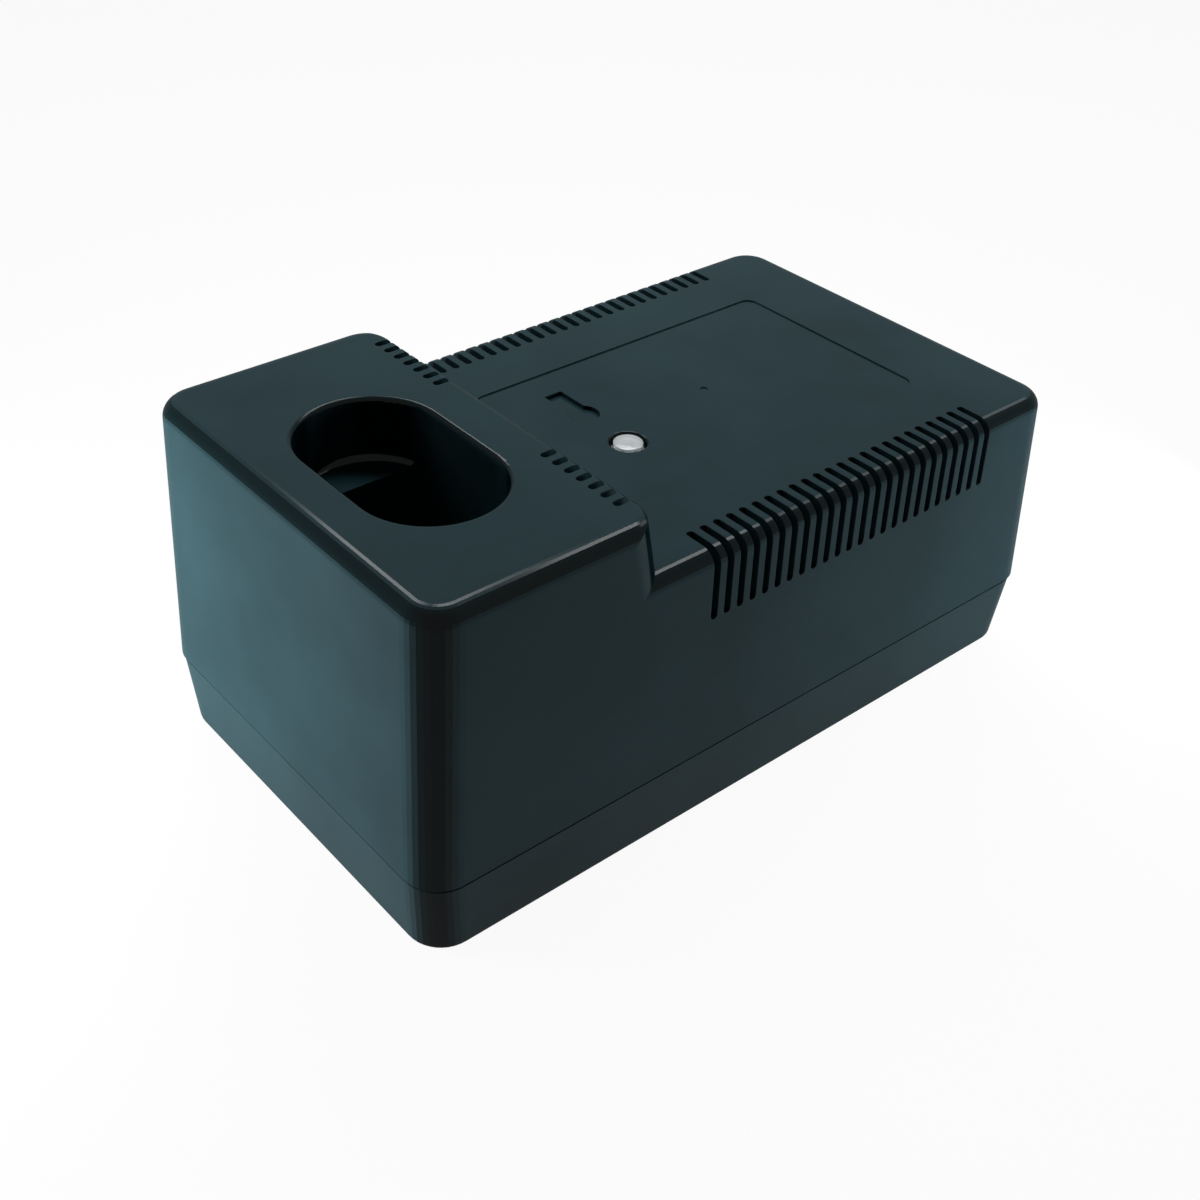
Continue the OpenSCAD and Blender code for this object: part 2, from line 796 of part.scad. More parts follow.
module floor_slot() {
    s = floor_slot_l / 2 - slot_w / 2;
    for (t = [-1, 1])
        translate([0, t * s, 0]) cylinder(d = slot_w, h = floor_h + 1);
    translate([-slot_w / 2, -s, 0]) cube([slot_w, 2 * s, floor_h + 1]);
}

module indicator_lens() {
    top = label_h + lens_proud - lens_dome_h;
    color([0.85, 0.88, 0.88])
        translate([led_x, led_y, 0])
            difference() {
                union() {
                    translate([0, 0, deck_in_h - lens_flange_t]) cylinder(d = lens_flange_d, h = lens_flange_t);
                    translate([0, 0, deck_in_h - lens_flange_t]) cylinder(d = lens_d, h = top - deck_in_h + lens_flange_t);
                    translate([0, 0, top]) lens_dome();
                }
                translate([0, 0, deck_in_h - lens_flange_t - 1]) cylinder(d = led_d + 2 * led_gap, h = 3.2);
            }
}

// Low dome: the top of a sphere that meets the lens at its edge
module lens_dome() {
    h = lens_dome_h;
    r = (lens_d * lens_d / 4 + h * h) / (2 * h);
    rotate_extrude()
        intersection() {
            translate([0, h - r]) circle(r = r);
            square([lens_d / 2, h + 1]);
        }
}

module rubber_feet() {
    color([0.1, 0.1, 0.1])
        feet_places() cylinder(d = foot_d, h = tray_h + foot_sink);
}

// Screw with its head below z = 0 and its shank above
module screw_up(d, l, head_d, head_h) {
    difference() {
        union() {
            cylinder(d = d, h = l);
            translate([0, 0, -head_h]) cylinder(d = head_d, h = head_h);
        }
        for (a = [0, 90])
            rotate([0, 0, a]) translate([-head_d / 3, -0.5, -head_h - 1]) cube([head_d / 1.5, 1, 1 + head_h * 0.6]);
    }
}

module screw_down(d, l, head_d, head_h) {
    mirror([0, 0, 1]) screw_up(d, l, head_d, head_h);
}

module housing_screws() {
    color([0.6, 0.6, 0.62])
        screw_places() translate([0, 0, screw_seat_h]) screw_up(screw_d, screw_l, screw_head_d, screw_head_h);
}

// Place of each leaf's root
module at_roots() {
    for (y = leaf_ys)
        translate([root_x, y, root_z]) children();
}

module contact_block() {
    color([0.75, 0.72, 0.65])
        difference() {
            union() {
                translate([0, 0, block_h]) linear_extrude(block_t) well_outline(tube_wall, true);
                translate([0, 0, block_h]) linear_extrude(block_t + plug_h) well_outline(-plug_gap, true);
                intersection() {
                    at_roots() translate([-3, -leaf_w / 2 - 1.5, -root_h - 1]) cube([3.7, leaf_w + 3, root_h + 3]);
                    linear_extrude(root_z + 5) well_outline(-plug_gap, true);
                }
            }
            at_roots() rotate([90, 0, 0]) cylinder(r = bore_r, h = leaf_w + 0.2, center = true);
            at_roots() translate([-leaf_t / 2 - 0.05, -tail_w / 2 - 0.05, -root_z]) cube([leaf_t + 0.1, tail_w + 0.1, root_z]);
        }
}

// Leaf with a rolled root, a rising arm, a crown and a falling tip
module leaf(y) {
    cx = leaf_l * cos(leaf_rise);
    cz = leaf_l * sin(leaf_rise);
    crown_r = 1.5;
    color([0.8, 0.62, 0.3])
        translate([root_x, y + leaf_w / 2, root_z])
            rotate([90, 0, 0])
                linear_extrude(leaf_w)
                    difference() {
                        union() {
                            circle(r = root_r);
                            rotate(leaf_rise) translate([0, -leaf_t / 2]) square([leaf_l, leaf_t]);
                            translate([cx, cz]) rotate(-tip_fall) translate([0, -leaf_t / 2]) square([tip_l, leaf_t]);
                            translate([cx, cz]) circle(d = leaf_t);
                        }
                        circle(r = root_r - leaf_t);
                    }
}

module contact_positive() {
    leaf(leaf_ys[0]);
}

module contact_negative() {
    leaf(leaf_ys[2]);
}

module contact_sensor() {
    leaf(leaf_ys[1]);
}

module contact_tails() {
    h = root_z - bore_r - 0.05 - tail_end;
    color([0.8, 0.62, 0.3])
        for (y = leaf_ys)
            translate([root_x - leaf_t / 2, y - tail_w / 2, tail_end])
                difference() {
                    cube([leaf_t, tail_w, h]);
                    translate([-1, tail_w / 2, 2]) rotate([0, 90, 0]) cylinder(d = 1.2, h = 3);
                }
}

module circuit_board() {
    color([0.2, 0.35, 0.2])
        difference() {
            translate([board_x, -board_w / 2, board_h]) cube([board_l, board_w, board_t]);
            board_posts(board_screw_d + 0.4, board_h - 1, board_top + 1);
        }
}

module board_screws() {
    color([0.6, 0.6, 0.62])
        for (x = board_screw_x, s = [-1, 1])
            translate([x, s * board_screw_y, board_top])
                screw_down(board_screw_d, board_screw_l, board_screw_d * 1.9, board_screw_d * 0.7);
}

module indicator_led() {
    r = led_d / 2;
    color([0.8, 0.85, 0.85])
        translate([led_x, led_y, led_base]) {
            rotate_extrude()
                union() {
                    square([r + 0.4, 1]);
                    square([r, 6.1]);
                    intersection() {
                        translate([0, 6.1]) circle(r = r);
                        translate([0, 6]) square([r, r + 1]);
                    }
                }
            for (s = [-1, 1])
                translate([s * 1.27 - 0.25, -0.25, board_top - led_base]) cube([0.5, 0.5, led_base - board_top]);
        }
}

module led_spacer() {
    color([0.85, 0.85, 0.8])
        translate([led_x, led_y, board_top])
            difference() {
                cylinder(d = led_d + 2.2, h = led_base - board_top);
                for (s = [-1, 1])
                    translate([s * 1.27, 0, -1]) cylinder(d = 1, h = led_base);
            }
}

heat_x = board_x + board_l - heat_w - 0.5;
module heat_sink() {
    color([0.75, 0.76, 0.78])
        translate([heat_x, heat_y, board_top])
            linear_extrude(heat_h)
                union() {
                    translate([0, -heat_l / 2]) square([heat_back, heat_l]);
                    for (i = [0:7])
                        translate([heat_back / 2, -heat_l / 2 + i * (heat_l - fin_t) / 7])
                            square([heat_w - heat_back / 2, fin_t]);
                }
}

// Standing body in front of its metal tab, which lies on the heat sink
module power_transistor() {
    tab = transistor_t / 4;
    color([0.12, 0.12, 0.12])
        translate([heat_x, heat_y + heat_l / 8, board_top + leg_h]) {
            difference() {
                union() {
                    translate([-transistor_t, -transistor_w / 2, 0])
                        cube([transistor_t - tab, transistor_w, transistor_h * 0.6]);
                    translate([-tab, -transistor_w / 2, 0]) cube([tab, transistor_w, transistor_h]);
                }
                translate([-2 * tab, 0, transistor_h * 0.8])
                    rotate([0, 90, 0]) cylinder(d = transistor_w * 0.36, h = 3 * tab);
            }
            for (s = [-1, 0, 1])
                translate([-transistor_t * 0.6, (s - 0.16) * transistor_w / 4, -leg_h]) cube([tab / 2, transistor_w / 12, leg_h]);
        }
}

module bridge_rectifier() {
    color([0.1, 0.1, 0.1])
        translate([heat_x + bridge_t * 0.4, bridge_y, board_top + leg_h]) {
            difference() {
                translate([0, -bridge_w / 2, 0]) cube([bridge_t, bridge_w, bridge_h]);
                translate([-1, 0, bridge_h * 0.75]) rotate([0, 90, 0]) cylinder(d = bridge_w / 6.5, h = bridge_t + 2);
                translate([-1, bridge_w * 0.39, bridge_h]) rotate([45, 0, 0]) cube([bridge_t + 2, bridge_w, bridge_w]);
            }
            for (i = [-1.5:1:1.5])
                translate([bridge_t * 0.4, i * bridge_w / 4.4 - 0.5, -leg_h]) cube([bridge_t / 5, 1, leg_h]);
        }
}

// Can with a crimped groove near its foot and a sleeve turned in over its top
module smoothing_capacitor() {
    r = cap_d / 2;
    color([0.12, 0.13, 0.2])
        translate([board_x + edge_gap + r, cap_y, board_top])
            rotate_extrude()
                polygon([[0, 0], [r - 0.4, 0], [r, 0.5], [r, cap_h * 0.09], [r - 0.6, cap_h * 0.11], [r, cap_h * 0.13],
                    [r, cap_h - 0.5], [r - 0.4, cap_h], [r * 0.82, cap_h], [r * 0.82, cap_h - 0.3], [0, cap_h - 0.3]]);
}

module relay() {
    color([0.12, 0.2, 0.4])
        translate([board_x + edge_gap + relay_l / 2, relay_y, board_top])
            union() {
                translate([0.5 - relay_l / 2, 0.5 - relay_w / 2, 0]) cube([relay_l - 1, relay_w - 1, relay_h]);
                translate([-relay_l / 2, -relay_w / 2, 0]) cube([relay_l, relay_w, relay_h / 8]);
            }
}

module control_chip() {
    pitch = chip_l / 7.7;
    color([0.1, 0.1, 0.1])
        translate([board_x + board_l * 0.47, chip_y, board_top]) {
            difference() {
                translate([-chip_l / 2, -chip_w / 2, chip_t / 5]) cube([chip_l, chip_w, chip_t]);
                translate([-chip_l / 2, 0, chip_t]) cylinder(r = chip_w / 5, h = chip_t);
            }
            for (i = [-3.5:1:3.5], s = [-1, 1])
                translate([i * pitch - pitch / 5, s * chip_w * 0.6 - chip_w / 10, 0]) cube([pitch * 0.4, chip_w / 5, chip_t * 0.65]);
        }
}

module resistors() {
    r = resistor_d / 2;
    l = resistor_l / 2;
    color([0.7, 0.55, 0.4])
        for (i = [0:3])
            translate([board_x + board_l * 0.36 + i * (resistor_d + 0.8), resistor_y, board_top + r + 0.1]) {
                rotate([90, 0, 0])
                    translate([0, 0, -l])
                        rotate_extrude()
                            polygon([[0, 0], [r - 0.2, 0], [r, l * 0.12], [r, l * 0.48], [r - 0.2, l * 0.6], [r - 0.2, l * 1.4],
                                [r, l * 1.52], [r, l * 1.88], [r - 0.2, l * 2], [0, l * 2]]);
                for (s = [-1, 1]) {
                    translate([0, s * (l - 0.1), 0]) rotate([-90 * s, 0, 0]) cylinder(d = r / 2, h = r * 1.5);
                    translate([0, s * (l + r * 1.5 - 0.2), -r - 0.1]) cylinder(d = r / 2, h = r * 1.4);
                }
            }
}

fuse_x = board_x + board_l * 0.46;
fuse_z = board_top + fuse_up;
module fuse() {
    cap = fuse_l / 4;
    color([0.8, 0.85, 0.85])
        translate([fuse_x - fuse_l / 2, fuse_y, fuse_z])
            rotate([0, 90, 0])
                union() {
                    cylinder(d = fuse_d, h = cap);
                    translate([0, 0, cap - 1]) cylinder(d = fuse_d - 0.6, h = fuse_l - 2 * cap + 2);
                    translate([0, 0, fuse_l - cap]) cylinder(d = fuse_d, h = cap);
                }
}

module fuse_clips() {
    r = fuse_d / 2;
    w = fuse_l * 0.18;
    color([0.75, 0.76, 0.78])
        for (s = [-1, 1])
            translate([fuse_x + s * fuse_l * 0.375 - w / 2, fuse_y, fuse_z])
                rotate([90, 0, 90])
                    linear_extrude(w)
                        difference() {
                            union() {
                                circle(r = r + 0.5);
                                translate([-1, -fuse_up]) square([2, fuse_up]);
                                translate([-r + 0.2, -fuse_up]) square([2 * r - 0.4, 0.5]);
                            }
                            circle(r = r + 0.05);
                            translate([-r + 0.6, r * 0.35]) square([2 * r - 1.2, 2 * r]);
                        }
}

module transformer_core() {
    color([0.35, 0.36, 0.38])
        translate([core_x, 0, core_low])
            difference() {
                translate([-core_t / 2, -core_w / 2, 0]) cube([core_t, core_w, core_h]);
                for (s = [-1, 1])
                    translate([-core_t / 2 - 1, s * (leg_w / 2 + window_w / 2) - window_w / 2, side_leg])
                        cube([core_t + 2, window_w, window_h]);
            }
}

// Rounded bar round the middle leg
module round_bar(x, y, r, h) {
    for (s = [-1, 1], t = [-1, 1])
        translate([s * (x - r), t * (y - r), 0]) cylinder(r = r, h = h);
    translate([-x, -y + r, 0]) cube([2 * x, 2 * (y - r), h]);
    translate([-x + r, -y, 0]) cube([2 * (x - r), 2 * y, h]);
}

module leg_hole(grow, h) {
    translate([-core_t / 2 - grow, -leg_w / 2 - grow, -1]) cube([core_t + 2 * grow, leg_w + 2 * grow, h + 2]);
}

module transformer_bobbin() {
    color([0.85, 0.83, 0.75])
        translate([core_x, 0, form_low])
            difference() {
                union() {
                    translate([-core_t / 2 - form_gap - form_t, -leg_w / 2 - form_gap - form_t, 0])
                        cube([core_t + 2 * (form_gap + form_t), leg_w + 2 * (form_gap + form_t), form_h]);
                    for (z = [0, form_h / 2 - form_t / 2, form_h - form_t])
                        translate([0, 0, z]) round_bar(form_x, form_y, 1, form_t);
                }
                leg_hole(form_gap, form_h);
            }
}

module winding(low, h) {
    g = form_gap + form_t + 0.1;
    translate([core_x, 0, low])
        difference() {
            round_bar(form_x - 1.5, form_y - 0.8, 3, h);
            leg_hole(g, h);
        }
}

coil_h = form_h / 2 - form_t * 1.5 - 0.2;
module primary_winding() {
    color([0.75, 0.6, 0.2])
        winding(form_low + form_t + 0.1, coil_h);
}

module secondary_winding() {
    color([0.7, 0.4, 0.2])
        winding(form_mid + form_t / 2 + 0.1, coil_h);
}

tag_y = leg_w * 0.36;
module bobbin_tags() {
    color([0.8, 0.7, 0.4]) {
        for (s = [-1, 1])
            translate([core_x + form_x, s * tag_y - 1.5, form_low + 0.2]) cube([3, 3, 0.8]);
        for (s = [-1, 1])
            translate([core_x - form_x - 3, s * tag_y - 1.5, form_low + form_h - 1]) cube([3, 3, 0.8]);
    }
}

module thermal_fuse() {
    x = core_x + form_x - 1.5;
    color([0.85, 0.85, 0.8])
        translate([x + 1.9, 0, form_low + form_t + 0.1 + coil_h / 2])
            rotate([90, 0, 0]) {
                translate([0, 0, -5]) cylinder(d = 3.6, h = 10);
                translate([0, 0, lead_d - tag_y]) cylinder(d = 1, h = 2 * (tag_y - lead_d));
            }
}

module transformer_frame() {
    y = core_w / 2;
    color([0.7, 0.7, 0.68])
        difference() {
            union() {
                translate([core_x - frame_w / 2, -y - frame_t, core_top]) cube([frame_w, 2 * (y + frame_t), frame_t]);
                for (s = [-1, 1]) {
                    translate([core_x - frame_w / 2, s * (y + frame_t / 2) - frame_t / 2, core_low])
                        cube([frame_w, frame_t, core_h + frame_t]);
                    translate([core_x - frame_w / 2, s * (y + foot_l / 2 + frame_t / 2) - (foot_l + frame_t) / 2, core_low])
                        cube([frame_w, foot_l + frame_t, frame_t]);
                }
            }
            core_screw_places() translate([0, 0, core_low - 1]) cylinder(d = core_screw_d + 0.4, h = frame_t + 2);
        }
}

module transformer_screws() {
    color([0.6, 0.6, 0.62])
        core_screw_places()
            translate([0, 0, core_low + frame_t])
                screw_down(core_screw_d, core_screw_l + frame_t, core_screw_d * 1.8, 2);
}

module socket_form(l) {
    r = socket_t / 2;
    rotate([0, 90, 0]) {
        for (s = [-1, 1])
            translate([0, s * (socket_w / 2 - r), 0]) cylinder(r = r, h = l);
        translate([-r, -socket_w / 2 + r, 0]) cube([socket_t, socket_w - socket_t, l]);
    }
}

module mains_inlet() {
    color([0.1, 0.1, 0.1])
        translate([inlet_back, 0, inlet_h])
            difference() {
                union() {
                    translate([0, -inlet_w / 2, -inlet_t / 2]) cube([inlet_l, inlet_w, inlet_t]);
                    translate([0, -inlet_w / 2 - 2, -inlet_t / 2 - 2]) cube([2, inlet_w + 4, inlet_t + 4]);
                }
                translate([inlet_l - socket_l, 0, 0]) socket_form(socket_l + 1);
                for (s = [-1, 1])
                    translate([-1, s * pin_pitch / 2, 0]) rotate([0, 90, 0]) cylinder(d = pin_d + 0.04, h = inlet_l);
            }
}

module inlet_pins() {
    color([0.8, 0.8, 0.78])
        for (s = [-1, 1])
            translate([inlet_back, s * pin_pitch / 2, inlet_h]) rotate([0, 90, 0])
                union() {
                    cylinder(d = pin_d, h = inlet_l - 2.5);
                    translate([0, 0, inlet_l - 2.5]) sphere(d = pin_d);
                    translate([-0.4, -1.1, -pin_tail]) cube([0.8, 2.2, pin_tail + 0.2]);
                }
}

// Smooth route through points, and a tube along it
function mix(a, b, t) = a * (1 - t) + b * t;
function bend(p, i, t) =
    let (a = mix(p[i], p[i + 1], 0.5), b = mix(p[i + 1], p[i + 2], 0.5))
    mix(mix(a, p[i + 1], t), mix(p[i + 1], b, t), t);
function route(p) = concat([p[0]],
    [for (i = [0:len(p) - 3], k = [0:wire_steps - 1]) bend(p, i, k / wire_steps)],
    [bend(p, len(p) - 3, 1), p[len(p) - 1]]);
function unit(v) = v / norm(v);
function along(q, i) = i == 0 ? unit(q[1] - q[0]) : i == len(q) - 1 ? unit(q[i] - q[i - 1])
    : unit(unit(q[i + 1] - q[i]) + unit(q[i] - q[i - 1]));
function side_of(t) = unit(cross(t, abs(t[1]) > 0.9 ? [1, 0, 0.3] : [0.1, 1, 0.2]));
function turned(q, i, s) = let (t = along(q, i), v = s - t * (s * t)) unit(v);
function sides(q, i, s) = i == len(q) ? []
    : let (v = turned(q, i, s)) concat([v], sides(q, i + 1, v));

module lead(p, d) {
    q = route(p);
    n = 8;
    v = sides(q, 0, side_of(along(q, 0)));
    pts = [for (i = [0:len(q) - 1], k = [0:n - 1])
        let (w = cross(along(q, i), v[i]), a = k * 360 / n) q[i] + d / 2 * (v[i] * cos(a) + w * sin(a))];
    quads = [for (i = [0:len(q) - 2], k = [0:n - 1])
        [i * n + k, (i + 1) * n + k, (i + 1) * n + (k + 1) % n, i * n + (k + 1) % n]];
    ends = [[for (k = [0:n - 1]) k], [for (k = [n - 1:-1:0]) (len(q) - 1) * n + k]];
    polyhedron(pts, concat(quads, ends), convexity = 4);
}

module mains_leads() {
    a = inlet_back - pin_tail - 0.1;
    color([0.3, 0.2, 0.15])
        for (s = [-1, 1])
            lead([[a, s * pin_pitch / 2, inlet_h], [a - 1.5 * lead_d, s * pin_pitch / 2, inlet_h],
                [a - 1.5 * lead_d, s * tag_y, inlet_h - 4 * lead_d], [core_x + form_x + 1.5, s * tag_y, form_low + 4 * lead_d],
                [core_x + form_x + 1.5, s * tag_y, form_low + 1.05]], lead_d);
}

module secondary_leads() {
    z = form_low + form_h;
    x = core_x - form_x - 1.5;
    foot_x = board_x + board_l - 1.5 * lead_d;
    foot_y = heat_y + heat_l / 2 + 2.5 * lead_d;
    color([0.5, 0.1, 0.1])
        for (s = [-1, 1])
            lead([[x, s * tag_y, z - 0.15], [x, s * tag_y, z + 2.5 * lead_d], [x, s * foot_y * 0.6, z + 3.5 * lead_d],
                [x, s * (foot_y + 1), z + 1.5 * lead_d], [foot_x, s * foot_y, board_top + 6 * lead_d],
                [foot_x, s * foot_y, board_top + 0.05]], lead_d);
}

module contact_leads() {
    color([0.15, 0.15, 0.15])
        for (i = [0:2])
            lead([[root_x + leaf_t / 2 + 0.05, leaf_ys[i], tail_end + 2], [root_x + 4, leaf_ys[i], tail_end + 2],
                [board_x - 6, leaf_ys[i], tail_end], [board_x + 6, leaf_ys[i], tail_end + 6],
                [board_x + 6, leaf_ys[i], board_h - 6], [board_x + 6, leaf_ys[i], board_h - 0.05]], thin_lead_d);
}

upper_shell();
base_tray();
indicator_lens();
rubber_feet();
housing_screws();
contact_block();
contact_positive();
contact_negative();
contact_sensor();
contact_tails();
circuit_board();
board_screws();
indicator_led();
led_spacer();
heat_sink();
power_transistor();
bridge_rectifier();
smoothing_capacitor();
relay();
control_chip();
resistors();
fuse();
fuse_clips();
transformer_core();
transformer_bobbin();
bobbin_tags();
primary_winding();
secondary_winding();
thermal_fuse();
transformer_frame();
transformer_screws();
mains_inlet();
inlet_pins();
mains_leads();
secondary_leads();
contact_leads();
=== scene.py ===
import math

import bpy
from mathutils import Matrix, Vector
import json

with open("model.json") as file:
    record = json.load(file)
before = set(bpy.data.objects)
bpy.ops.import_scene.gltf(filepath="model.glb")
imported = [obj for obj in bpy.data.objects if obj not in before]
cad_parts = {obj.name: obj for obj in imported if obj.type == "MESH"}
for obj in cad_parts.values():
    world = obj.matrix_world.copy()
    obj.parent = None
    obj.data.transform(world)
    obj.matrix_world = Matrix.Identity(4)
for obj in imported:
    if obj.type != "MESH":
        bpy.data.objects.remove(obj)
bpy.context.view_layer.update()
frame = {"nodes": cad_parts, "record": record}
nodes = frame["nodes"]
scene = bpy.context.scene

# ---------------------------------------------------------------- named values
# Camera: angles in degrees, place in metres, focal length and middle of the view in pixels of the frame
FRAME_SIZE = 1200
CAMERA_AZIMUTH = -40.8022
CAMERA_ELEVATION = 34.8305
CAMERA_ROLL = 2.0965
CAMERA_PLACE = (-0.231608, -0.250650, 0.275557)
FOCAL_LENGTH = 1611.52
VIEW_MIDDLE_X = 573.21
VIEW_MIDDLE_Y = 553.12
SENSOR_WIDTH = 36.0
CLIP_START = 0.01
CLIP_END = 20.0

# Moulded plastic, in linear colours. Flatness is the largest part of the normal along one of the object's
# axes: the roundings' painted shade, a darker colour standing in for their dark reflections, is full at the
# first of the two limits, and the haze at the second.
HAZE_DARK = (0.0078, 0.0206, 0.0248)
HAZE_LIGHT = (0.0118, 0.0300, 0.0360)
# Painted shade: the darker colour that roundings and upright corners take in place of the haze.
ROUNDING_PAINTED_SHADE = (0.0004, 0.0045, 0.0055)
FLATNESS_LIMITS = (0.87, 0.995)
SHELL_ROUGHNESS = 0.36
TRAY_ROUGHNESS = 0.40
COAT_WEIGHT = 0.16
COAT_ROUGHNESS = 0.13

# Part of the noise's range that a cloudy pattern uses
CLOUD_RANGE = (0.3, 0.7)

# Clear parts
CLEAR_TRANSMISSION = 0.7
CLEAR_IOR = 1.5

# Surfaces that meet at a larger angle keep a sharp edge, in degrees
SHARP_ANGLE = 28
NORMAL_WEIGHT = 50

# Studio
WHITE = (1.0, 1.0, 1.0)
SEEN_WHITE = 1.0
ROOM_LIGHT = 0.05
FLOOR_HALF = 6.0
FLOOR_GREY = (0.5, 0.5, 0.5)
FLOOR_WHITE_SHARE = 0.94
LAMP_AIM = (0.0, 0.0, 0.04)

# Inner parts by material slot: linear colour, roughness and, for metals, metallic
FINISHES = {
    "foot_rubber": ((0.012, 0.012, 0.012), 0.75),
    "screw_steel": ((0.55, 0.56, 0.58), 0.32, 1.0),
    "block_plastic": ((0.33, 0.31, 0.26), 0.5),
    "contact_brass": ((0.72, 0.52, 0.24), 0.28, 1.0),
    "board_laminate": ((0.03, 0.12, 0.05), 0.4),
    "white_nylon": ((0.7, 0.7, 0.66), 0.5),
    "aluminium": ((0.75, 0.76, 0.78), 0.35, 1.0),
    "component_epoxy": ((0.012, 0.012, 0.013), 0.5),
    "capacitor_sleeve": ((0.015, 0.02, 0.06), 0.25),
    "relay_case": ((0.02, 0.06, 0.2), 0.3),
    "resistor_body": ((0.5, 0.32, 0.16), 0.4),
    "tinned_steel": ((0.72, 0.72, 0.7), 0.3, 1.0),
    "core_steel": ((0.12, 0.125, 0.14), 0.5, 1.0),
    "copper_wire": ((0.72, 0.32, 0.12), 0.35, 1.0),
    "enamelled_wire": ((0.5, 0.25, 0.06), 0.3, 1.0),
    "frame_steel": ((0.6, 0.6, 0.55), 0.4, 1.0),
    "lead_sheath_brown": ((0.09, 0.035, 0.015), 0.5),
    "lead_sheath_red": ((0.3, 0.01, 0.01), 0.5),
    "lead_sheath_black": ((0.012, 0.012, 0.012), 0.5),
}


# ---------------------------------------------------------------- camera
def make_camera():
    azimuth = math.radians(CAMERA_AZIMUTH)
    elevation = math.radians(CAMERA_ELEVATION)
    roll = math.radians(CAMERA_ROLL)
    level = math.cos(elevation)
    back = Vector((math.sin(azimuth) * level, -math.cos(azimuth) * level, math.sin(elevation)))
    right = Vector((math.cos(azimuth), math.sin(azimuth), 0.0))
    up = back.cross(right)
    rolled_right = math.cos(roll) * right + math.sin(roll) * up
    rolled_up = -math.sin(roll) * right + math.cos(roll) * up
    data = bpy.data.cameras.new("camera")
    data.sensor_width = SENSOR_WIDTH
    data.lens = FOCAL_LENGTH / FRAME_SIZE * SENSOR_WIDTH
    data.shift_x = (FRAME_SIZE / 2 - VIEW_MIDDLE_X) / FRAME_SIZE
    data.shift_y = (VIEW_MIDDLE_Y - FRAME_SIZE / 2) / FRAME_SIZE
    data.clip_start = CLIP_START
    data.clip_end = CLIP_END
    camera = bpy.data.objects.new("camera", data)
    rotation = Matrix((rolled_right, rolled_up, back)).transposed().to_4x4()
    camera.matrix_world = Matrix.Translation(Vector(CAMERA_PLACE)) @ rotation
    scene.collection.objects.link(camera)
    scene.camera = camera


# ---------------------------------------------------------------- materials
class Shader:
    """A material's node tree, with short calls for the nodes used here."""

    def __init__(self, name):
        self.material = bpy.data.materials.new(name)
        self.material.use_nodes = True
        self.tree = self.material.node_tree
        self.tree.nodes.clear()
        self.out = self.node("ShaderNodeOutputMaterial")
        self.coords = self.node("ShaderNodeTexCoord").outputs["Object"]

    def node(self, kind, **values):
        n = self.tree.nodes.new(kind)
        for key, value in values.items():
            setattr(n, key, value)
        return n

    def put(self, socket, value):
        if isinstance(value, bpy.types.NodeSocket):
            self.tree.links.new(value, socket)
        else:
            socket.default_value = value

    def principled(self, **values):
        n = self.node("ShaderNodeBsdfPrincipled")
        for key, value in values.items():
            self.put(n.inputs[key.replace("_", " ")], value)
        self.tree.links.new(n.outputs[0], self.out.inputs["Surface"])
        return n

    def noise(self, scale, detail, rough=0.55):
        n = self.node("ShaderNodeTexNoise")
        self.put(n.inputs["Vector"], self.coords)
        n.inputs["Scale"].default_value = scale
        n.inputs["Detail"].default_value = detail
        n.inputs["Roughness"].default_value = rough
        return n.outputs["Fac"]

    def ramp(self, fac, low, high, a, b, kind="LINEAR"):
        """Goes from a to b as fac goes from low to high."""
        n = self.node("ShaderNodeMapRange", interpolation_type=kind)
        self.put(n.inputs["Value"], fac)
        for key, value in (("From Min", low), ("From Max", high), ("To Min", a), ("To Max", b)):
            n.inputs[key].default_value = value
        return n.outputs["Result"]

    def mix(self, fac, a, b):
        """Colour a where fac is 0 and b where it is 1."""
        n = self.node("ShaderNodeMix", data_type="RGBA")
        # The node's sockets share their names, so they go by number: 6 and 7 are its colours, output 2 the mix
        for number, value in ((0, fac), (6, a), (7, b)):
            self.put(n.inputs[number], value)
        return n.outputs[2]

    def calculate(self, operation, *values):
        n = self.node("ShaderNodeMath", operation=operation)
        for socket, value in zip(n.inputs, values):
            self.put(socket, value)
        return n.outputs[0]

    def rounded(self, radius):
        """A normal that rounds the sharp edges a little."""
        n = self.node("ShaderNodeBevel", samples=6)
        n.inputs["Radius"].default_value = radius
        return n.outputs[0]

    def flatness(self):
        """Near 1 where the surface faces along one of the object's axes, less on roundings and corners."""
        parts = self.node("ShaderNodeSeparateXYZ")
        self.put(parts.inputs[0], self.node("ShaderNodeTexCoord").outputs["Normal"])
        x, y, z = [self.calculate("ABSOLUTE", part) for part in parts.outputs]
        return self.calculate("MAXIMUM", self.calculate("MAXIMUM", x, y), z)

    def bump(self, height, strength, distance, normal):
        n = self.node("ShaderNodeBump")
        self.put(n.inputs["Height"], height)
        n.inputs["Strength"].default_value = strength
        n.inputs["Distance"].default_value = distance
        self.put(n.inputs["Normal"], normal)
        return n.outputs[0]


def opaque(colour):
    return (*colour, 1.0)


